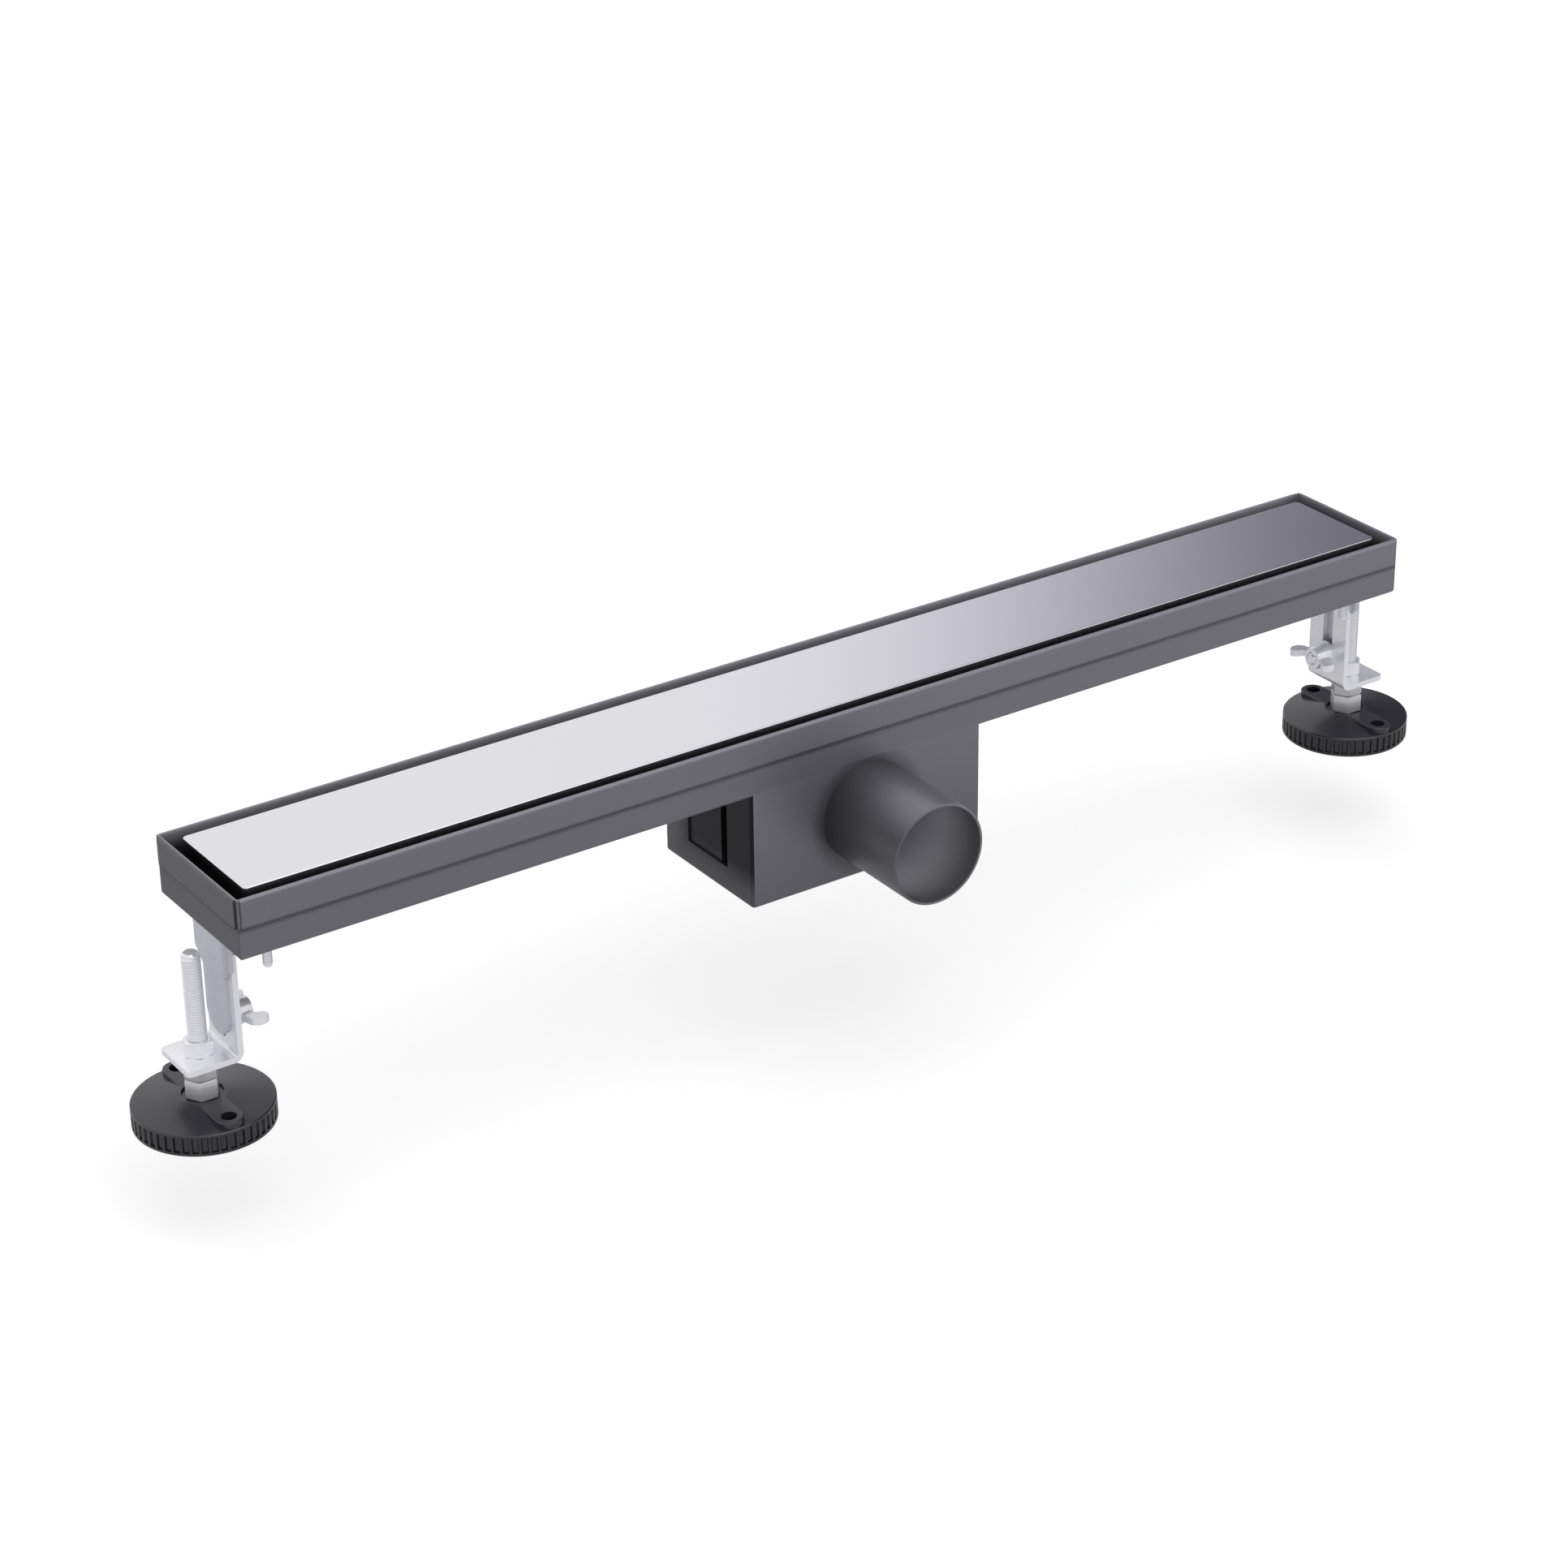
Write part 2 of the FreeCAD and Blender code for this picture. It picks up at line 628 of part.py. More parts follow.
def spindle():
    """Levelling screw: a rod with a hexagon for a spanner and a tail in the foot."""
    shank = upright(spindle_diameter / 2, foot_x, 0, hex_bottom - spindle_tail, -spindle_top)
    shank = shank.makeChamfer(spindle_end_chamfer, level_edges(shank, -spindle_top))
    head = hexagon(spindle_flats, foot_x, 0, hex_bottom, hex_top, nut_chamfer, nut_chamfer)
    return fuse(shank, head)


def foot():
    """Moulded foot with a ribbed rim, a conical top, a raised bar and a hollow underside."""
    radius = foot_diameter / 2
    rim_top = foot_base + foot_rim_height
    hub = foot_hub_diameter / 2
    body = turned([(0, foot_base), (radius, foot_base), (radius, foot_base + foot_base_band),
                   (radius - foot_rib_depth, foot_base + foot_base_band),
                   (radius - foot_rib_depth, rim_top - foot_top_band), (radius, rim_top - foot_top_band),
                   (radius, rim_top - foot_rib_depth / 2), (radius - foot_rib_depth / 2, rim_top),
                   (hub, foot_top), (0, foot_top)], foot_x, 0)
    pitch = 2 * math.pi / foot_ribs
    outline = []
    for rib in range(foot_ribs):
        centre = rib * pitch
        half = pitch * foot_rib_share / 2
        crest = half * foot_rib_crest
        valley = radius - foot_rib_depth
        for angle, distance in ((centre - pitch / 2, valley), (centre - half, valley),
                                (centre - crest, radius), (centre + crest, radius), (centre + half, valley)):
            outline.append((foot_x + distance * math.cos(angle), distance * math.sin(angle),
                            foot_base + foot_base_band))
    ribs = prism(outline, (0, 0, foot_rim_height - foot_base_band - foot_top_band))
    bar_half = bar_width / 2
    hole_y = screw_spacing / 2
    bar = box(foot_x - bar_half, foot_x + bar_half, -hole_y, hole_y, rim_top - foot_wall, foot_top)
    for side in (-1, 1):
        bar = bar.fuse(upright(bar_half, foot_x, side * hole_y, rim_top - foot_wall, foot_top))
    bar = bar.removeSplitter()
    bar = bar.makeFillet(bar_edge_round, level_edges(bar, foot_top))
    solid = fuse(body, ribs, bar)
    cavity = turned([(hub, foot_base - overcut), (radius - foot_rib_depth - foot_wall, foot_base - overcut),
                     (radius - foot_rib_depth - foot_wall, rim_top - foot_wall), (hub, rim_top - foot_wall)],
                    foot_x, 0)
    for web in range(web_count):
        rib = box(0, radius, -web_thickness / 2, web_thickness / 2, foot_base - 2 * overcut, foot_top)
        rib = rib.rotated(FreeCAD.Vector(0, 0, 0), FreeCAD.Vector(0, 0, 1), 360.0 * web / web_count)
        cavity = cavity.cut(rib.translated(FreeCAD.Vector(foot_x, 0, 0)))
    for side in (-1, 1):
        cavity = cavity.cut(upright(screw_boss / 2, foot_x, side * hole_y, foot_base - 2 * overcut, foot_top))
    solid = solid.cut(cavity)
    for side in (-1, 1):
        solid = solid.cut(upright(screw_hole / 2, foot_x, side * hole_y,
                                  foot_base - overcut, foot_top + overcut))
    solid = solid.cut(upright(foot_recess_diameter / 2, foot_x, 0, hex_bottom, foot_top + overcut))
    socket_bottom = hex_bottom - spindle_tail - spindle_tail_gap
    return solid.cut(upright(spindle_diameter / 2 + spindle_running, foot_x, 0, socket_bottom, foot_top))


def single(shape):
    """The shape with each of its solids taken out of any wrapping compound."""
    solids = shape.Solids
    if len(solids) == 1:
        return solids[0]
    return Part.makeCompound(solids)


def main():
    pieces = {
        "cover_plate": cover_plate(),
        "trap_box": trap_box(),
        "outlet_pipe": outlet_pipe(),
        "core_seal": core_seal(),
        "trap_core": trap_core(),
        "membrane_valve": membrane_valve(),
    }
    pieces.update(channel_pieces())
    pieces.update(strainer_pieces())
    outer_place = channel_length / 2 - support_from_end
    inner_place = dish_length / 2 + support_from_dish
    pieces["cover_support_outer_left"] = cover_support(-outer_place)
    pieces["cover_support_inner_left"] = cover_support(-inner_place)
    pieces["cover_support_inner_right"] = cover_support(inner_place)
    pieces["cover_support_outer_right"] = cover_support(outer_place)
    leg = {
        "hanger_studs": hanger_studs(),
        "hanger_bracket": hanger_bracket(),
        "hanger_nuts": hanger_nuts(),
        "clamp_stud": clamp_stud(),
        "leg_bracket": leg_bracket(),
        "clamp_washer": clamp_washer(),
        "wing_nut": wing_nut(),
        "fixed_nut": fixed_nut(),
        "lock_nut": lock_nut(),
        "spindle": spindle(),
        "foot": foot(),
    }
    for name, shape in leg.items():
        pieces["left_" + name] = shape
        pieces["right_" + name] = shape.mirror(FreeCAD.Vector(0, 0, 0), FreeCAD.Vector(1, 0, 0))
    os.makedirs("parts", exist_ok=True)
    for name, shape in pieces.items():
        shape = single(shape)
        shape.exportStep("parts/" + name + ".step")
        print(name, len(shape.Solids), shape.isValid(), round(shape.Volume / 1000, 3), "cm3")


main()
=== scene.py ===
import json
import math

import bpy
from mathutils import Matrix, Vector


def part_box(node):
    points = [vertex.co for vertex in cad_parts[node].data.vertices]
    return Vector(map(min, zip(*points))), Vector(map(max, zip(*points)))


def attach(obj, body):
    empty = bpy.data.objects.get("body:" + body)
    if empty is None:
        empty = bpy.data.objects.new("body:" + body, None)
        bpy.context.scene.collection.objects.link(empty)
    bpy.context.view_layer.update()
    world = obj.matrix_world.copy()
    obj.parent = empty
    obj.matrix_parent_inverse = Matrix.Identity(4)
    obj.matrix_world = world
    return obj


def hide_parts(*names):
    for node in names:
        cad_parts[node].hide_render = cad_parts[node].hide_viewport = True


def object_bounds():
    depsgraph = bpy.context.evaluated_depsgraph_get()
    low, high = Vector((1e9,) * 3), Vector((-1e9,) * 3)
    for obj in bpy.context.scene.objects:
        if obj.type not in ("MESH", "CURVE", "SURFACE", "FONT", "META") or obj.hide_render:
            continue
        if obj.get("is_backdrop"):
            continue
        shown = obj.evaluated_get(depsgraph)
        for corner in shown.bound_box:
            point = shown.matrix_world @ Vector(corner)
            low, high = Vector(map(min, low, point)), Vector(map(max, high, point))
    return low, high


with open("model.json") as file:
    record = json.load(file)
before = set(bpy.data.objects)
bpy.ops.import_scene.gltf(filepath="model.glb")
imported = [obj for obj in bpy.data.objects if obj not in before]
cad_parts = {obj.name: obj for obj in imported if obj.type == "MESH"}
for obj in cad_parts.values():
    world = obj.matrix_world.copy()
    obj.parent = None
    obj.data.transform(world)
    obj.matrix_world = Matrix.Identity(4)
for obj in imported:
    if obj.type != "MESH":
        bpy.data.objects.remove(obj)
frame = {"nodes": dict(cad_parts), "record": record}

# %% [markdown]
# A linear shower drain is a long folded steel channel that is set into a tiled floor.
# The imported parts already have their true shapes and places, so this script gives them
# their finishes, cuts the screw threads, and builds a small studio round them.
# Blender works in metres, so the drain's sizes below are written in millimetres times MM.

MM = 0.001
cad_low, cad_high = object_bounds()
print("object box in mm", [round(value / MM, 1) for value in cad_high - cad_low])

# %% [markdown]
# Colours are written as the hex values that a paint program shows. Blender's shaders
# want linear light, so one function converts them. A second small function adds a shader
# node and fills it in, and every node below is made with it. An entry is either a
# property, or a socket with its value or with the output that is linked to it. The size
# of a texture's grain is in plain millimetres, and per_mm turns it into a scale.

# %% Colour and shader helpers


def linear(hex_colour):
    """The linear RGBA value of an sRGB hex colour."""
    channels = [int(hex_colour[start:start + 2], 16) / 255 for start in (1, 3, 5)]
    values = [channel / 12.92 if channel <= 0.04045 else ((channel + 0.055) / 1.055) ** 2.4
              for channel in channels]
    return (*values, 1.0)


def add_node(tree, kind, entries=None):
    """Adds a shader node, sets its properties and sockets, and links its inputs."""
    node = tree.nodes.new(kind)
    for name, value in (entries or {}).items():
        if isinstance(value, bpy.types.NodeSocket):
            tree.links.new(value, node.inputs[name])
        elif isinstance(name, int) or name in node.inputs:
            node.inputs[name].default_value = value
        else:
            setattr(node, name, value)
    return node


def new_material(name, settings):
    """A material with one Principled shader, which is returned with its node tree."""
    material = bpy.data.materials.new(name)
    material.use_nodes = True
    tree = material.node_tree
    shader = tree.nodes["Principled BSDF"]
    for socket, value in settings.items():
        shader.inputs[socket].default_value = value
    return material, tree, shader


def per_mm(size):
    """Texture scale at which one feature is about this many millimetres across."""
    return 1 / (size * MM)


print("a grey of #808080 is", round(linear("#808080")[0], 3), "in linear light")

# %% [markdown]
# The channel, trap box and pipe are stainless steel sheet with a dark grey coating. It is
# thin, so the metal's own satin grain still shows: reflections are soft and grey, and
# edges catch the light. Part of the light is scattered in the coating itself, so the
# shader is mostly, but not wholly, metallic. Where a socket is linked, its own value isn't
# used. It is still set, to about the middle of what the link gives, for plain viewers.

# %% Dark coated stainless steel
SATIN_GRAIN = 0.5
SATIN_DETAIL = 2.0
COATED_COLOUR = "#78777e"
COATED_METALLIC = 0.6
COATED_ROUGHNESS = 0.4
LEAST_ROUGH = 0.37
MOST_ROUGH = 0.44


def coated_steel(name):
    """Coated sheet with a faint grain; returns its material, nodes, shader and roughness."""
    material, tree, shader = new_material(name, {
        "Base Color": linear(COATED_COLOUR), "Metallic": COATED_METALLIC, "Roughness": COATED_ROUGHNESS})
    place = add_node(tree, "ShaderNodeTexCoord")
    satin = add_node(tree, "ShaderNodeTexNoise", {
        "Vector": place.outputs["Object"], "Scale": per_mm(SATIN_GRAIN), "Detail": SATIN_DETAIL})
    roughness = add_node(tree, "ShaderNodeMapRange", {
        "Value": satin.outputs["Fac"], "To Min": LEAST_ROUGH, "To Max": MOST_ROUGH}).outputs["Result"]
    tree.links.new(roughness, shader.inputs["Roughness"])
    return material, tree, shader, roughness


dark_steel = coated_steel("dark_coated_stainless")[0]
print(dark_steel.name, "has a grain of", SATIN_GRAIN, "mm")

# %% [markdown]
# Painted shade and painted light are drawn into the colour by where a point lies on the part. A gradient is a
# number that changes smoothly from one value to another between two places. Several gradients times each
# other make a shade, by which the colour is multiplied. A gradient that is as steep as a step marks off a
# region, as masking tape does.

# %% Shades that depend on the place
STEP = 0.001 * MM


def places(tree):
    """The point on the part, its x, y and z, and how far x and y are from the middle."""
    place = add_node(tree, "ShaderNodeTexCoord").outputs["Object"]
    signed = add_node(tree, "ShaderNodeSeparateXYZ", {0: place}).outputs
    distance = add_node(tree, "ShaderNodeVectorMath", {"operation": "ABSOLUTE", 0: place}).outputs[0]
    unsigned = add_node(tree, "ShaderNodeSeparateXYZ", {0: distance}).outputs
    return {"x": signed["X"], "y": signed["Y"], "z": signed["Z"],
            "from_middle_x": unsigned["X"], "from_middle_y": unsigned["Y"], "point": place}


def shade_from(tree, gradients, factors=()):
    """Multiplies gradients, each a place, its start and end, and the first and last value."""
    parts = list(factors)
    for place, start, end, first, last in gradients:
        parts.append(add_node(tree, "ShaderNodeMapRange", {
            "interpolation_type": "SMOOTHSTEP", "Value": place, "From Min": start, "From Max": end,
            "To Min": first, "To Max": last}).outputs["Result"])
    shade = parts[0]
    for part in parts[1:]:
        shade = add_node(tree, "ShaderNodeMath", {"operation": "MULTIPLY", 0: shade, 1: part}).outputs[0]
    return shade


def shade_by(tree, shader, colour, shade):
    """Gives the shader a colour times a shade; the colour is a hex value or an output."""
    if isinstance(colour, str):
        colour = linear(colour)[:3]
    shaded = add_node(tree, "ShaderNodeVectorMath", {"operation": "SCALE", 0: colour, "Scale": shade})
    tree.links.new(shaded.outputs[0], shader.inputs["Base Color"])


print("a step between two shades is", STEP / MM, "mm wide")

# %% [markdown]
# The coating is meant to be seen from outside. Inside it is thin, and the dull pickled
# steel shows through: lighter, and scattering rather than mirroring. A mask mixes the two,
# in colour, metal and roughness. A Mix node has sockets of its own for numbers and for
# colours, and they go by number.

# %% Dull steel under the coating
DULL_METALLIC = 0.2
DULL_ROUGHNESS = 0.55
NUMBER_A, NUMBER_B, NUMBER_OUT = 2, 3, 0
COLOUR_A, COLOUR_B, COLOUR_OUT = 6, 7, 2


def dull_where(tree, shader, roughness, mask, dull_colour):
    """Lets the dull steel show where the mask is 1, and returns the colour."""
    tone = add_node(tree, "ShaderNodeMix", {
        "data_type": "RGBA", "Factor": mask, COLOUR_A: linear(COATED_COLOUR), COLOUR_B: linear(dull_colour)})
    metal = add_node(tree, "ShaderNodeMix", {
        "Factor": mask, NUMBER_A: COATED_METALLIC, NUMBER_B: DULL_METALLIC})
    rough = add_node(tree, "ShaderNodeMix", {"Factor": mask, NUMBER_A: roughness, NUMBER_B: DULL_ROUGHNESS})
    tree.links.new(metal.outputs[NUMBER_OUT], shader.inputs["Metallic"])
    tree.links.new(rough.outputs[NUMBER_OUT], shader.inputs["Roughness"])
    return tone.outputs[COLOUR_OUT]


print("the dull steel has a roughness of", DULL_ROUGHNESS)

# %% [markdown]
# The distance from the pipe's axis tells its bore from its outside. The square of that distance is enough,
# because it is only compared with other squares. Painted shade darkens the pipe near its weld and down its
# left side, and painted light lightens its top and right side. Inside the bore, painted shade darkens the
# mouth and painted light lightens it deeper in.

# %% Outlet pipe that is dull inside
PIPE_DULL_COLOUR = "#a6a6ac"
PIPE_LEVEL = -50.2 * MM
PIPE_RADIUS = 23.0 * MM
PIPE_MASK_RADIUS = 22.1 * MM
PIPE_LEFT_SHADE = 0.6
PIPE_TOP_SHADE = 1.15
PIPE_MOUTH = -85.0 * MM
BORE_BARE = -50.0 * MM
MOUTH_SHADE = 0.22
BORE_SHADE = 1.9
PIPE_WELD = -34.2 * MM
PIPE_WELD_FADE = -70.0 * MM
PIPE_WELD_SHADE = 0.55


def pipe_distance_squared(tree, point):
    """The square of the distance from the outlet pipe's axis."""
    offset = add_node(tree, "ShaderNodeVectorMath", {
        "operation": "MULTIPLY_ADD", 0: point, 1: (1.0, 0.0, 1.0), 2: (0.0, 0.0, -PIPE_LEVEL)}).outputs[0]
    return add_node(tree, "ShaderNodeVectorMath", {
        "operation": "DOT_PRODUCT", 0: offset, 1: offset}).outputs["Value"]


pipe_steel, tree, shader, roughness = coated_steel("dark_coated_stainless_pipe")
at = places(tree)
from_axis_squared = pipe_distance_squared(tree, at["point"])
in_bore = shade_from(tree, [
    (from_axis_squared, (PIPE_MASK_RADIUS - STEP) ** 2, PIPE_MASK_RADIUS ** 2, 1.0, 0.0)])
tone = dull_where(tree, shader, roughness, in_bore, PIPE_DULL_COLOUR)
# Painted shade at the bore's mouth and painted light deeper in.
inner_shade = shade_from(tree, [(at["y"], PIPE_MOUTH, BORE_BARE, MOUTH_SHADE, BORE_SHADE)])
# Painted shade near the weld and down the left side, painted light on the top and right.
outer_shade = shade_from(tree, [
    (at["y"], PIPE_WELD_FADE, PIPE_WELD, 1.0, PIPE_WELD_SHADE),
    (at["x"], -PIPE_RADIUS, 0.0, PIPE_LEFT_SHADE, PIPE_TOP_SHADE)])
shade = add_node(tree, "ShaderNodeMix", {"Factor": in_bore, NUMBER_A: outer_shade, NUMBER_B: inner_shade})
shade_by(tree, shader, tone, shade.outputs[NUMBER_OUT])
print(pipe_steel.name, "has", len(tree.nodes), "nodes")

# %% [markdown]
# On the inner faces of the channel the dull steel shows near the rim, where the cover rubs, and painted shade
# deepens towards the floor and into the right-hand corners.

# %% Channel that is rubbed inside
DULL_COLOUR = "#88888e"
TROUGH_HALF_LENGTH = 298.5 * MM
TROUGH_HALF_WIDTH = 33.5 * MM
RUBBED_DEPTH = 9.0 * MM
RIM_DEPTH = 1.8 * MM
TROUGH_DEPTH = 10.0 * MM
TROUGH_SHADE = 0.35
CORNER_START = 286.0 * MM
CORNER_END = 297.0 * MM
CORNER_SHADE = 0.65
channel_steel, tree, shader, roughness = coated_steel("dark_coated_stainless_channel")
at = places(tree)
inside = shade_from(tree, [
    (at["from_middle_x"], TROUGH_HALF_LENGTH - STEP, TROUGH_HALF_LENGTH, 1.0, 0.0),
    (at["from_middle_y"], TROUGH_HALF_WIDTH - STEP, TROUGH_HALF_WIDTH, 1.0, 0.0)])
rubbed = shade_from(tree, [(at["z"], -RUBBED_DEPTH, 0.0, 0.0, 1.0)], [inside])
tone = dull_where(tree, shader, roughness, rubbed, DULL_COLOUR)
# Painted shade towards the trough's floor and into the right-hand corners.
in_trough = shade_from(tree, [
    (at["z"], -TROUGH_DEPTH, -RIM_DEPTH, TROUGH_SHADE, 1.0),
    (at["x"], CORNER_START, CORNER_END, 1.0, CORNER_SHADE)])
trough = add_node(tree, "ShaderNodeMix", {"Factor": inside, NUMBER_A: 1.0, NUMBER_B: in_trough})
print(channel_steel.name, "is rubbed", round(RUBBED_DEPTH / MM, 1), "mm deep")

# %% [markdown]
# Under the channel's hem, where the sheet is folded back, painted shade draws a soft dark line, and the band
# below it is painted a shade darker. A painted highlight runs along the rim, the welded ends get painted
# shade, and the whole channel is painted a little darker towards the left and lighter towards the right.

# %% Channel with painted shade under its hem
HEM_LINE = -13.5 * MM
HEM_LINE_WIDTH = 2.2 * MM
HEM_LINE_SHADE = 0.45
BAND_SHADE = 0.92
RIM_SHADE = 1.45
CHANNEL_END = 299.0 * MM
CHANNEL_END_SHADE = 0.5
LEFT_SHADE = 0.92
RIGHT_SHADE = 1.1
above_line = add_node(tree, "ShaderNodeMath", {"operation": "SUBTRACT", 0: at["z"], 1: HEM_LINE})
from_line = add_node(tree, "ShaderNodeMath", {"operation": "ABSOLUTE", 0: above_line.outputs[0]})
# Painted shade and light: the line under the hem, the band below it, the highlight on the rim, the darker
# ends and the change along the length.
shade = shade_from(tree, [
    (from_line.outputs[0], 0.0, HEM_LINE_WIDTH, HEM_LINE_SHADE, 1.0),
    (at["z"], HEM_LINE - HEM_LINE_WIDTH, HEM_LINE, BAND_SHADE, 1.0),
    (at["z"], -RIM_DEPTH, 0.0, 1.0, RIM_SHADE),
    (at["from_middle_x"], CHANNEL_END - STEP, CHANNEL_END, 1.0, CHANNEL_END_SHADE),
    (at["x"], -CHANNEL_END, CHANNEL_END, LEFT_SHADE, RIGHT_SHADE)], [trough.outputs[NUMBER_OUT]])
shade_by(tree, shader, tone, shade)
print("the line is", round(-HEM_LINE / MM, 1), "mm below the rim")

# %% [markdown]
# The left end wall of the trap box gets painted shade, deepest towards the outlet side and up under the
# channel, and lighter towards the back and the bottom. Its gloss is lowered by the same painted shade.

# %% Trap box with a darker left end wall
END_WALL_START = 54.0 * MM
END_WALL_EDGE = 34.0 * MM
END_WALL_FRONT = 8.0 * MM
END_WALL_BACK = 30.0 * MM
END_WALL_SHADE = 0.1
END_WALL_BACK_SHADE = 0.55
BOX_BOTTOM = -80.0 * MM
END_WALL_MIDDLE = -56.0 * MM
LOW_END_SHADE = 0.5
USUAL_SPECULAR = 0.5
box_steel, tree, shader, roughness = coated_steel("dark_coated_stainless_box")
at = places(tree)
# Painted shade on the left end wall, lighter towards the back and the bottom.
on_end = shade_from(tree, [
    (at["x"], -END_WALL_START - STEP, -END_WALL_START, 1.0, 0.0),
    (at["from_middle_y"], END_WALL_EDGE - STEP, END_WALL_EDGE, 1.0, 0.0)])
towards_back = shade_from(tree, [
    (at["y"], END_WALL_FRONT, END_WALL_BACK, END_WALL_SHADE, END_WALL_BACK_SHADE)])
towards_bottom = shade_from(tree, [(at["z"], BOX_BOTTOM, END_WALL_MIDDLE, LOW_END_SHADE, 0.0)])
lighter = add_node(tree, "ShaderNodeMath", {"operation": "MAXIMUM", 0: towards_back, 1: towards_bottom})
end_shade = add_node(tree, "ShaderNodeMix", {
    "Factor": on_end, NUMBER_A: 1.0, NUMBER_B: lighter.outputs[0]}).outputs[NUMBER_OUT]
# The gloss takes the same painted shade.
dulled = add_node(tree, "ShaderNodeMath", {"operation": "MULTIPLY", 0: end_shade, 1: USUAL_SPECULAR})
tree.links.new(dulled.outputs[0], shader.inputs["Specular IOR Level"])
print("the left end wall is darkest at", END_WALL_SHADE, "of the plain colour")

# %% [markdown]
# The front wall of the trap box gets painted shade, a little towards its bottom and in a ring round the
# pipe's weld.

# %% Trap box with painted shade round the weld
FRONT_FACE = -34.0 * MM
BOX_TOP = -30.0 * MM
LOW_FRONT_SHADE = 0.74
WELD_HALO_RADIUS = 31.0 * MM
WELD_HALO_SHADE = 0.6
on_front = shade_from(tree, [(at["y"], FRONT_FACE - STEP, FRONT_FACE, 1.0, 0.0)])
from_axis_squared = pipe_distance_squared(tree, at["point"])
# Painted shade towards the bottom of the front wall and in a ring round the weld.
by_weld = shade_from(tree, [
    (at["z"], BOX_BOTTOM, BOX_TOP, LOW_FRONT_SHADE, 1.0),
    (from_axis_squared, PIPE_RADIUS ** 2, WELD_HALO_RADIUS ** 2, WELD_HALO_SHADE, 1.0)])
front_shade = add_node(tree, "ShaderNodeMix", {
    "Factor": on_front, NUMBER_A: 1.0, NUMBER_B: by_weld}).outputs[NUMBER_OUT]
shade_by(tree, shader, COATED_COLOUR, shade_from(tree, [], [end_shade, front_shade]))
print("the ring is", round((WELD_HALO_RADIUS - PIPE_RADIUS) / MM, 1), "mm wide")

# %% [markdown]
# The cover plate is bare stainless steel, brushed along its length with a fine belt. The scratches run in one
# direction, so a reflection is smeared across them. Noise that is stretched far along X and kept narrow along
# Y gives such scratches, both as height and as small changes of roughness. Real scratches are finer than the
# picture can show, so they are drawn a little coarser here. The folded skirt hangs in the dark gap, and
# painted shade makes it darker than the top.

# %% Brushed stainless steel for the cover plate
BRUSH_LENGTH = 60.0
BRUSH_WIDTH = 0.35
BRUSH_DETAIL = 3.0
BRUSH_RELIEF = 0.02
BRUSH_DEPTH = 0.02 * MM
BRUSHED_ROUGHNESS = 0.2
BRUSHED_LEAST = 0.19
BRUSHED_MOST = 0.23
COVER_COLOUR = "#e3e2e7"
SKIRT_START = -2.6 * MM
COVER_EDGE = -0.9 * MM
SKIRT_SHADE = 0.55
cover_steel, tree, shader = new_material("brushed_stainless", {
    "Base Color": linear(COVER_COLOUR), "Metallic": 1.0, "Roughness": BRUSHED_ROUGHNESS})
at = places(tree)
stretched = add_node(tree, "ShaderNodeMapping", {
    "Vector": at["point"], "Scale": (per_mm(BRUSH_LENGTH), per_mm(BRUSH_WIDTH), per_mm(BRUSH_WIDTH))})
scratches = add_node(tree, "ShaderNodeTexNoise", {
    "Vector": stretched.outputs["Vector"], "Scale": 1.0, "Detail": BRUSH_DETAIL}).outputs["Fac"]
spread = add_node(tree, "ShaderNodeMapRange", {
    "Value": scratches, "To Min": BRUSHED_LEAST, "To Max": BRUSHED_MOST})
tree.links.new(spread.outputs["Result"], shader.inputs["Roughness"])
relief = add_node(tree, "ShaderNodeBump", {
    "Height": scratches, "Strength": BRUSH_RELIEF, "Distance": BRUSH_DEPTH})
tree.links.new(relief.outputs["Normal"], shader.inputs["Normal"])
# Painted shade on the folded skirt in the gap.
skirt_shade = shade_from(tree, [(at["z"], SKIRT_START, COVER_EDGE, SKIRT_SHADE, 1.0)])
shade_by(tree, shader, COVER_COLOUR, skirt_shade)
print(cover_steel.name, "has scratches", BRUSH_WIDTH, "mm wide")

# %% [markdown]
# The strainer is pressed from the same sheet and only tumbled, so it is plain satin steel.

# %% Tumbled stainless steel for the strainer
STRAINER_COLOUR = "#bdbdc1"
TUMBLED_ROUGHNESS = 0.33
strainer_steel = new_material("tumbled_stainless", {
    "Base Color": linear(STRAINER_COLOUR), "Metallic": 1.0, "Roughness": TUMBLED_ROUGHNESS})[0]
print(strainer_steel.name, "is the same all over")

# %% [markdown]
# The legs are mild steel with bright zinc plating. Zinc is a cool light grey with a mild mottle where the
# bath laid it down unevenly. Its fine crystals scatter some of the light, so the shader isn't wholly
# metallic. The hanger brackets come out a little darker than the legs, so they have a colour of their own.
# What lies under the legs' flanges, such as the fixed nuts, gets painted shade.

# %% Bright zinc plating
MOTTLE = 3.0
MOTTLE_DETAIL = 2.0
ZINC_METALLIC = 0.5
ZINC_ROUGHNESS = 0.24
UNDER_FLANGE = -84.6 * MM
DULL_NUTS_LEVEL = -86.0 * MM
NUT_SHADE = 0.75


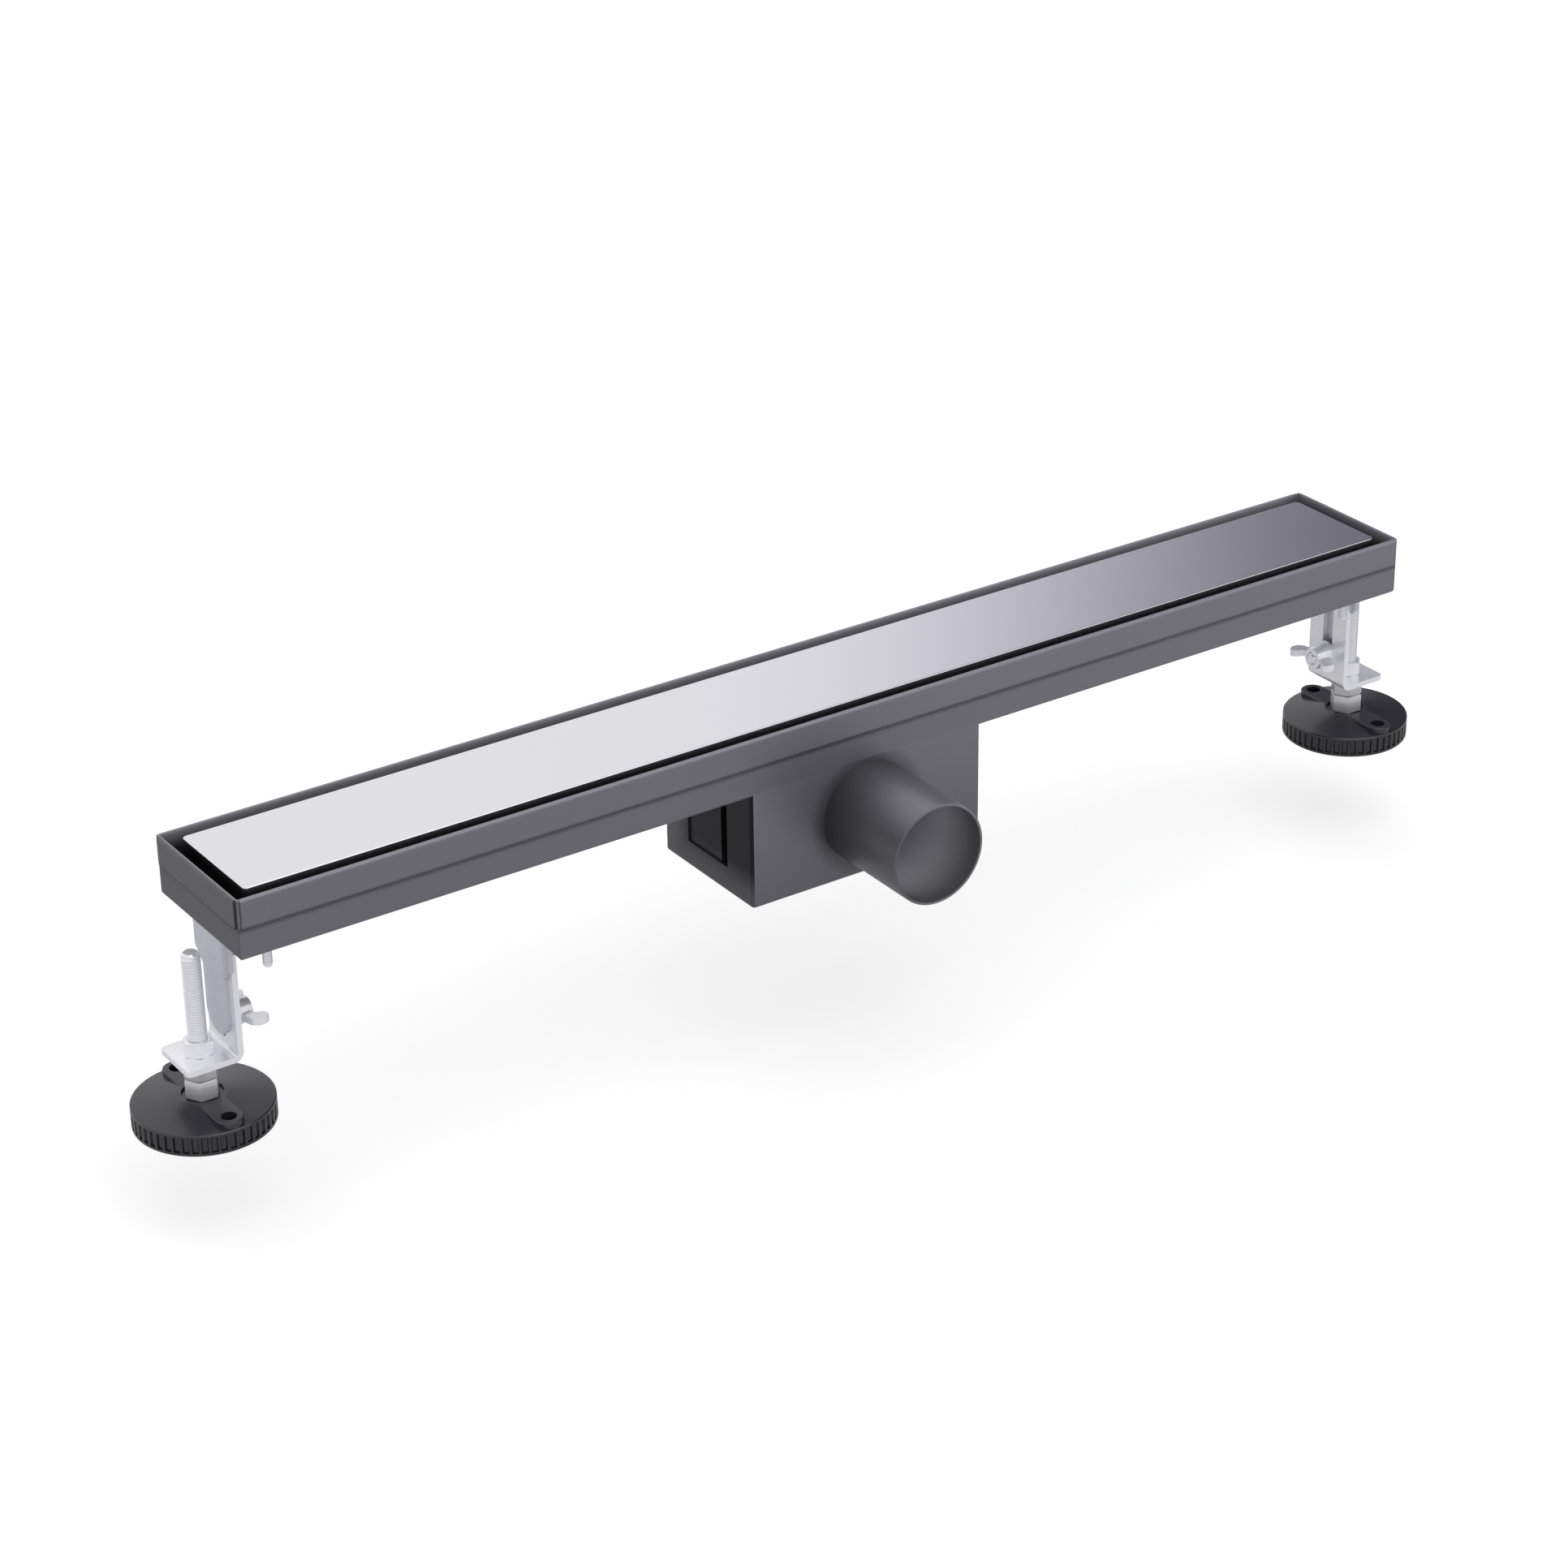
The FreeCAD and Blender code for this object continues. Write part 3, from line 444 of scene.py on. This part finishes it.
def zinc(name, light, dark):
    """Zinc plating that varies between two close greys, with painted shade under the flanges."""
    material, tree, shader = new_material(name, {
        "Base Color": linear(light), "Metallic": ZINC_METALLIC, "Roughness": ZINC_ROUGHNESS})
    at = places(tree)
    clouds = add_node(tree, "ShaderNodeTexNoise", {
        "Vector": at["point"], "Scale": per_mm(MOTTLE), "Detail": MOTTLE_DETAIL})
    tones = add_node(tree, "ShaderNodeMix", {
        "data_type": "RGBA", "Factor": clouds.outputs["Fac"],
        COLOUR_A: linear(light), COLOUR_B: linear(dark)})
    # Painted shade under the legs' flanges.
    shade = shade_from(tree, [(at["z"], DULL_NUTS_LEVEL, UNDER_FLANGE, NUT_SHADE, 1.0)])
    shade_by(tree, shader, tones.outputs[COLOUR_OUT], shade)
    return material


leg_zinc = zinc("bright_zinc", "#f4f4f7", "#e9e9ef")
hanger_zinc = zinc("grey_zinc", "#c9cad3", "#bebfc8")
print("zinc has a mottle of", MOTTLE, "mm")

# %% [markdown]
# The feet are moulded in black polypropylene, with the fine even grain of a spark-eroded mould. The plastic
# itself is nearly black, and the grey that shows on top is the studio in its low gloss, which grows as the
# surface is seen at a flatter angle. The ribbed rim gets painted shade, so it is darker than the top.

# %% Black polypropylene for the feet
MOULD_GRAIN = 0.4
MOULD_DETAIL = 1.0
MOULD_RELIEF = 0.15
MOULD_DEPTH = 0.03 * MM
FOOT_COLOUR = "#23222a"
RIM_LEVEL = -104.8 * MM
CONE_LEVEL = -103.6 * MM
RIBBED_RIM_SHADE = 0.4
foot_plastic, tree, shader = new_material("black_polypropylene", {
    "Base Color": linear(FOOT_COLOUR), "Roughness": 0.27, "IOR": 1.49, "Specular IOR Level": 0.65})
at = places(tree)
# Painted shade on the ribbed rim.
rim_shade = shade_from(tree, [(at["z"], RIM_LEVEL, CONE_LEVEL, RIBBED_RIM_SHADE, 1.0)])
shade_by(tree, shader, FOOT_COLOUR, rim_shade)
grain = add_node(tree, "ShaderNodeTexNoise", {
    "Vector": at["point"], "Scale": per_mm(MOULD_GRAIN), "Detail": MOULD_DETAIL})
relief = add_node(tree, "ShaderNodeBump", {
    "Height": grain.outputs["Fac"], "Strength": MOULD_RELIEF, "Distance": MOULD_DEPTH})
tree.links.new(relief.outputs["Normal"], shader.inputs["Normal"])
print(foot_plastic.name, "has a grain of", MOULD_GRAIN, "mm")

# %% [markdown]
# Inside the trap are a cup moulded in dark grey ABS, a black rubber seal, and a valve in
# milky silicone, which is soft to the eye because light goes a little way into it.

# %% Plastics and rubbers of the trap
core_plastic = new_material("dark_grey_abs", {
    "Base Color": linear("#3c3d42"), "Roughness": 0.38, "IOR": 1.54})[0]
seal_rubber = new_material("black_rubber", {
    "Base Color": linear("#19191b"), "Roughness": 0.6, "IOR": 1.52})[0]
valve_rubber = new_material("milky_silicone", {
    "Base Color": linear("#cfcfd2"), "Roughness": 0.35, "IOR": 1.41,
    "Subsurface Weight": 0.3, "Subsurface Scale": 1.5 * MM})[0]
print("inside the trap:", core_plastic.name, seal_rubber.name, valve_rubber.name)

# %% [markdown]
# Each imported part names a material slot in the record. The parts keep their meshes, and
# only the material in each slot is changed for the one made above.

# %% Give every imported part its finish
finishes = {
    "dark_steel": dark_steel, "satin_cover": cover_steel, "strainer_steel": strainer_steel,
    "leg_zinc": leg_zinc, "hanger_zinc": hanger_zinc, "foot_plastic": foot_plastic,
    "core_plastic": core_plastic, "seal_rubber": seal_rubber, "valve_rubber": valve_rubber,
}
own_finish = {"outlet_pipe": pipe_steel, "trap_box": box_steel, "channel_body": channel_steel,
              "channel_end_left": channel_steel, "channel_end_right": channel_steel}
slot_of_part = {part["node"]: part["material_slot"] for part in frame["record"]["subparts"]}


def dress(thing, finish):
    """Gives a piece this one finish all over."""
    thing.data.materials.clear()
    thing.data.materials.append(finish)


for part_name, part in frame["nodes"].items():
    dress(part, own_finish.get(part_name, finishes[slot_of_part[part_name]]))
print(len(frame["nodes"]), "parts have their finish")

# %% [markdown]
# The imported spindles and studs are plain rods. A real thread is a ridge that winds round
# a thinner core. These threads are rolled and plated, which leaves them shallow with
# broad crests, so that a rod still mirrors like a round bar. The core comes first: a
# cylinder whose top face is drawn out and made smaller, which leaves a tapered end.

# %% Core of a threaded rod
CORE_SIDES = 32
NEAR = 0.01 * MM


def pick_faces(thing, test):
    """In edit mode with face selection, selects the faces whose centre passes the test."""
    bpy.ops.mesh.select_mode(type="FACE")
    bpy.ops.mesh.select_all(action="DESELECT")
    bpy.ops.object.mode_set(mode="OBJECT")
    for face in thing.data.polygons:
        face.select = test(face.center)
    bpy.ops.object.mode_set(mode="EDIT")


def make_core(radius, length, taper):
    """Round core that stands on the origin, with a taper at its top end."""
    bpy.ops.object.select_all(action="DESELECT")
    straight = length - taper
    bpy.ops.mesh.primitive_cylinder_add(
        vertices=CORE_SIDES, radius=radius, depth=straight, location=(0, 0, straight / 2))
    core = bpy.context.object
    bpy.ops.object.transform_apply(location=True, rotation=True, scale=True)
    bpy.ops.object.mode_set(mode="EDIT")
    pick_faces(core, lambda centre: centre.z > straight - NEAR)
    bpy.ops.mesh.extrude_region_move(TRANSFORM_OT_translate={"value": (0, 0, taper)})
    narrow = (radius - taper) / radius
    bpy.ops.transform.resize(value=(narrow, narrow, 1))
    bpy.ops.object.mode_set(mode="OBJECT")
    return core


print("a core has", CORE_SIDES, "sides")

# %% [markdown]
# The ridge starts as a square that stands upright beside the axis. Its outer edge is made
# shorter, which gives the section of a thread, and the Screw modifier winds its outline up.
# The section reaches a little into the core, so that no gap opens between them. The two
# open ends are filled, and the normals are turned outwards.

# %% Ridge of a thread
DEPTH_PER_PITCH = 0.4
CREST_PER_PITCH = 0.42
ROOT_PER_PITCH = 0.92
OVERLAP_PER_PITCH = 0.1
STEPS_PER_TURN = 20
MERGE_DISTANCE = 0.001 * MM
MOST_HOLE_SIDES = 8


def make_ridge(radius, pitch, start, end):
    """Helical ridge of a right-handed thread between two heights."""
    bpy.ops.object.select_all(action="DESELECT")
    depth = DEPTH_PER_PITCH * pitch
    overlap = OVERLAP_PER_PITCH * pitch
    middle = radius - depth + (depth - overlap) / 2
    bpy.ops.mesh.primitive_plane_add(size=1, location=(middle, 0, start), rotation=(math.pi / 2, 0, 0))
    ridge = bpy.context.object
    ridge.scale = (depth + overlap, ROOT_PER_PITCH * pitch, 1)
    bpy.ops.object.transform_apply(location=True, rotation=True, scale=True)
    for corner in ridge.data.vertices:
        if corner.co.x > middle:
            corner.co.z = start + (corner.co.z - start) * CREST_PER_PITCH / ROOT_PER_PITCH
    bpy.ops.object.mode_set(mode="EDIT")
    bpy.ops.mesh.select_all(action="SELECT")
    bpy.ops.mesh.delete(type="ONLY_FACE")
    bpy.ops.object.mode_set(mode="OBJECT")
    bpy.ops.object.modifier_add(type="SCREW")
    winding = ridge.modifiers[-1]
    winding.axis = "Z"
    winding.screw_offset = pitch
    winding.iterations = int((end - start) / pitch)
    winding.steps = STEPS_PER_TURN
    winding.render_steps = STEPS_PER_TURN
    bpy.ops.object.modifier_apply(modifier=winding.name)
    bpy.ops.object.mode_set(mode="EDIT")
    bpy.ops.mesh.select_all(action="SELECT")
    bpy.ops.mesh.remove_doubles(threshold=MERGE_DISTANCE)
    bpy.ops.mesh.fill_holes(sides=MOST_HOLE_SIDES)
    bpy.ops.mesh.select_all(action="SELECT")
    bpy.ops.mesh.normals_make_consistent(inside=False)
    bpy.ops.object.mode_set(mode="OBJECT")
    return ridge


print("a ridge stands out by", DEPTH_PER_PITCH, "of its pitch")

# %% [markdown]
# A rod is its core and its ridge joined. It is made standing on the origin, and then
# turned and moved into place. Its place is written into its mesh, so that the object
# itself stays at the origin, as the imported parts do.

# %% Threaded rods and how they are put in place
TAPER_PER_PITCH = 0.6
RUN_OUT_PER_PITCH = 0.2
SMOOTH_ANGLE = math.radians(35)


def select_only(*objects):
    """Selects these objects and nothing else, and makes the first one active."""
    bpy.ops.object.select_all(action="DESELECT")
    for item in objects:
        item.select_set(True)
    bpy.context.view_layer.objects.active = objects[0]


def threaded_rod(name, diameter, pitch, length, plain_start=0.0):
    """A rod that stands on the origin, threaded from a plain start up to its tapered end."""
    radius = diameter / 2
    taper = TAPER_PER_PITCH * pitch
    core = make_core(radius - DEPTH_PER_PITCH * pitch, length, taper)
    thread_end = length - taper - RUN_OUT_PER_PITCH * pitch
    ridge = make_ridge(radius, pitch, plain_start + pitch / 2, thread_end)
    select_only(core, ridge)
    bpy.ops.object.join()
    core.name = name
    core.data.name = name
    return core


def put(thing, turn, place):
    """Turns and moves a finished piece, and writes its place into its mesh."""
    select_only(thing)
    thing.rotation_euler = turn
    thing.location = place
    bpy.ops.object.transform_apply(location=True, rotation=True, scale=True)
    bpy.ops.object.shade_smooth_by_angle(angle=SMOOTH_ANGLE)


print("edges up to", round(math.degrees(SMOOTH_ANGLE)), "degrees are shaded smooth")

# %% [markdown]
# A spanner turns each levelling spindle by a hexagon near its foot, 13 mm across its
# flats. It is a cylinder with six sides, turned so that one flat faces the front, and a
# bevel eases the edges of its two ends.

# %% Hexagon for the spanner
HEX_ACROSS_FLATS = 13.0 * MM
HEX_HEIGHT = 9.0 * MM
HEX_EDGE = 0.7 * MM
HEX_TURN = math.radians(30)


def make_hexagon(across_flats, height, edge):
    """Hexagon that stands on the origin with its end edges eased."""
    bpy.ops.object.select_all(action="DESELECT")
    bpy.ops.mesh.primitive_cylinder_add(vertices=6, radius=across_flats / math.sqrt(3), depth=height,
                                        location=(0, 0, height / 2), rotation=(0, 0, HEX_TURN))
    block = bpy.context.object
    bpy.ops.object.transform_apply(location=True, rotation=True, scale=True)
    bpy.ops.object.mode_set(mode="EDIT")
    pick_faces(block, lambda centre: centre.z < NEAR or centre.z > height - NEAR)
    bpy.ops.mesh.bevel(offset=edge, segments=2)
    bpy.ops.object.mode_set(mode="OBJECT")
    return block


print("the hexagon is", round(HEX_ACROSS_FLATS / MM, 1), "mm across its flats")

# %% [markdown]
# Each levelling spindle is an M8 rod with that hexagon, and below it a plain tail that
# stands in the foot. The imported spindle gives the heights.

# %% Levelling spindles
SPINDLE_THREAD = 8.0 * MM
SPINDLE_PITCH = 1.25 * MM
TAIL_LENGTH = 6.0 * MM

for side in ("left", "right"):
    low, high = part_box(side + "_spindle")
    axis_x = (low.x + high.x) / 2
    rod = threaded_rod(side + "_threaded_spindle", SPINDLE_THREAD, SPINDLE_PITCH, high.z - low.z,
                       plain_start=TAIL_LENGTH + HEX_HEIGHT)
    head = make_hexagon(HEX_ACROSS_FLATS, HEX_HEIGHT, HEX_EDGE)
    head.location.z = TAIL_LENGTH
    bpy.ops.object.select_all(action="DESELECT")
    bpy.ops.mesh.primitive_cylinder_add(vertices=CORE_SIDES, radius=SPINDLE_THREAD / 2, depth=TAIL_LENGTH,
                                        location=(0, 0, TAIL_LENGTH / 2))
    tail = bpy.context.object
    select_only(rod, head, tail)
    bpy.ops.object.join()
    put(rod, (0, 0, 0), (axis_x, 0, low.z))
    dress(rod, leg_zinc)
    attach(rod, side + "_screw")
    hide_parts(side + "_spindle")
    print(rod.name, "has", len(rod.data.polygons), "faces")

# %% [markdown]
# The clamp stud is an M6 rod that points to the middle of the drain, so the standing rod
# is laid on its side. On the right it points the other way.

# %% Clamp stud
CLAMP_THREAD = 6.0 * MM
CLAMP_PITCH = 1.0 * MM


def make_clamp_stud(side, low, high):
    """The clamp stud of one leg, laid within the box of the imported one."""
    stud = threaded_rod(side + "_threaded_clamp_stud", CLAMP_THREAD, CLAMP_PITCH, high.x - low.x)
    level = (low.z + high.z) / 2
    if side == "left":
        put(stud, (0, math.pi / 2, 0), (low.x, 0, level))
    else:
        put(stud, (0, -math.pi / 2, 0), (high.x, 0, level))
    dress(stud, leg_zinc)
    return stud


print("a clamp stud has", round(MM / CLAMP_PITCH, 1), "turns to the millimetre")

# %% [markdown]
# The hanger studs are M4 and hang from the channel's floor with their tapered ends down.
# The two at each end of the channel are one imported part, so they are joined.

# %% Hanger studs
HANGER_THREAD = 4.0 * MM
HANGER_PITCH = 0.7 * MM


def make_hanger_studs(side, low, high):
    """The two hanger studs of one end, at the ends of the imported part's box."""
    pair = []
    for stud_y in (low.y + HANGER_THREAD / 2, high.y - HANGER_THREAD / 2):
        stud = threaded_rod(side + "_threaded_hanger_studs", HANGER_THREAD, HANGER_PITCH, high.z - low.z)
        put(stud, (math.pi, 0, 0), ((low.x + high.x) / 2, stud_y, high.z))
        pair.append(stud)
    select_only(*pair)
    bpy.ops.object.join()
    dress(pair[0], leg_zinc)
    return pair[0]


print("a hanger stud has", round(MM / HANGER_PITCH, 1), "turns to the millimetre")

# %% [markdown]
# The studs are welded to the drain's body, so they ride on it, and each takes the place
# of its plain packed rod.

# %% Studs in their places
for side in ("left", "right"):
    stud = make_clamp_stud(side, *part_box(side + "_clamp_stud"))
    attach(stud, "drain")
    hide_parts(side + "_clamp_stud")
    studs = make_hanger_studs(side, *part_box(side + "_hanger_studs"))
    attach(studs, "drain")
    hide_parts(side + "_hanger_studs")
    print(side, "studs have", len(stud.data.polygons), "and", len(studs.data.polygons), "faces")

# %% [markdown]
# Under the drain lies a wide white floor, like a sheet of studio paper. It lies a little
# lower than the feet, so that the legs have room to be let down all the way. Its diffuse
# white takes the object's soft shadow, and a little light of its own, seen only by the
# camera and in reflections, lifts it to the pure white of the background. The studio is
# large, so its own sizes are in metres.

# %% Studio floor
FLOOR_WIDTH = 14.0
LEG_ROOM = 45.0 * MM
PAPER_COLOUR = "#cfcfd0"
FLOOR_LIFT = 0.5
GLOSSY_LIFT = 0.12
WHITE = linear("#ffffff")
bpy.ops.object.select_all(action="DESELECT")
bpy.ops.mesh.primitive_plane_add(size=FLOOR_WIDTH, location=(0, 0, cad_low.z - LEG_ROOM))
floor = bpy.context.object
floor.name = "studio_floor"
floor_white, tree, shader = new_material("studio_paper", {
    "Base Color": linear(PAPER_COLOUR), "Roughness": 0.9, "Specular IOR Level": 0.0, "Emission Color": WHITE})
rays = add_node(tree, "ShaderNodeLightPath")
to_camera = add_node(tree, "ShaderNodeMath", {
    "operation": "MULTIPLY", 0: rays.outputs["Is Camera Ray"], 1: FLOOR_LIFT})
lift = add_node(tree, "ShaderNodeMath", {
    "operation": "MULTIPLY_ADD", 0: rays.outputs["Is Glossy Ray"], 1: GLOSSY_LIFT, 2: to_camera.outputs[0]})
tree.links.new(lift.outputs[0], shader.inputs["Emission Strength"])
floor.data.materials.append(floor_white)
floor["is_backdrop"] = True
print("the floor lies", round(LEG_ROOM / MM), "mm under the feet")

# %% [markdown]
# Polished and brushed metal shows what is round it. The cover is bright along most of its
# length and falls off to grey towards the right, because the studio's white wall ends
# there. The world does the same: it is white all round, apart from one soft grey patch
# behind and to the right, and the camera itself always sees white.

# %% Studio surroundings
WALL_LEVEL = 0.97
PATCH_LEVEL = 0.15
PATCH_COLOUR = "#dad6f0"
PATCH_AZIMUTH = math.radians(80)
PATCH_HEIGHT = math.radians(20)
PATCH_CORE = math.radians(32)
PATCH_RADIUS = math.radians(44)
world = bpy.data.worlds.new("studio")
bpy.context.scene.world = world
world.use_nodes = True
tree = world.node_tree
tree.nodes.clear()
look = add_node(tree, "ShaderNodeTexCoord")
patch_aim = (math.sin(PATCH_AZIMUTH) * math.cos(PATCH_HEIGHT),
             math.cos(PATCH_AZIMUTH) * math.cos(PATCH_HEIGHT), math.sin(PATCH_HEIGHT))
nearness = add_node(tree, "ShaderNodeVectorMath", {
    "operation": "DOT_PRODUCT", 0: look.outputs["Generated"], 1: patch_aim}).outputs["Value"]
in_patch = shade_from(tree, [(nearness, math.cos(PATCH_RADIUS), math.cos(PATCH_CORE), 0.0, 1.0)])
level = shade_from(tree, [(in_patch, 0.0, 1.0, WALL_LEVEL, PATCH_LEVEL)])
tint = add_node(tree, "ShaderNodeMix", {
    "data_type": "RGBA", "Factor": in_patch, COLOUR_A: WHITE, COLOUR_B: linear(PATCH_COLOUR)})
walls = add_node(tree, "ShaderNodeBackground", {"Color": tint.outputs[COLOUR_OUT], "Strength": level})
plain = add_node(tree, "ShaderNodeBackground", {"Color": WHITE, "Strength": 1.0})
rays = add_node(tree, "ShaderNodeLightPath")
choice = add_node(tree, "ShaderNodeMixShader", {
    0: rays.outputs["Is Camera Ray"], 1: walls.outputs[0], 2: plain.outputs[0]})
add_node(tree, "ShaderNodeOutputWorld", {"Surface": choice.outputs[0]})
print("the grey patch is", round(2 * math.degrees(PATCH_RADIUS)), "degrees wide")

# %% [markdown]
# One wide lamp hangs above and a little in front, so that the upper faces are a touch
# lighter than the sides and the shadow on the floor stays faint.

# %% Soft lamp
LAMP_WIDTH = 1.8
LAMP_POWER = 9.0
LAMP_PLACE = Vector((0.1, -1.1, 1.8))
bpy.ops.object.select_all(action="DESELECT")
bpy.ops.object.light_add(type="AREA", location=LAMP_PLACE)
lamp = bpy.context.object
lamp.data.shape = "SQUARE"
lamp.data.size = LAMP_WIDTH
lamp.data.energy = LAMP_POWER
lamp.rotation_euler = LAMP_PLACE.to_track_quat("Z", "Y").to_euler()
print("the lamp hangs", round(LAMP_PLACE.length, 2), "m from the drain")

# %% [markdown]
# The camera stands to the left and in front, a little above, as in the photograph. Its
# place, tilt and lens were worked out from the long edges of the channel, whose length
# and width are known.

# %% Camera
CAMERA_PLACE = Vector((-879.4, -1272.3, 731.6)) * MM
CAMERA_AZIMUTH = math.radians(-34.03)
CAMERA_HEIGHT = math.radians(26.86)
CAMERA_ROLL = math.radians(-0.79)
CAMERA_LENS = 91.42
SENSOR_WIDTH = 36.0
bpy.ops.object.camera_add(location=CAMERA_PLACE)
camera = bpy.context.object
aim = (Matrix.Rotation(CAMERA_AZIMUTH, 3, "Z") @ Matrix.Rotation(math.pi / 2 - CAMERA_HEIGHT, 3, "X")
       @ Matrix.Rotation(CAMERA_ROLL, 3, "Z"))
camera.rotation_euler = aim.to_euler()
camera.data.lens = CAMERA_LENS
camera.data.sensor_width = SENSOR_WIDTH
bpy.context.scene.camera = camera
bpy.context.scene.view_settings.view_transform = "Standard"
print("the camera stands", round(CAMERA_PLACE.length, 2), "m from the drain")

# %% [markdown]
# Last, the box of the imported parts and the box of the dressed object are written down,
# so that it is easy to see that the looks haven't changed the object's size.

# %% Sizes before and after
low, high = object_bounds()
print("dressed box in mm", [round(value / MM, 1) for value in high - low])
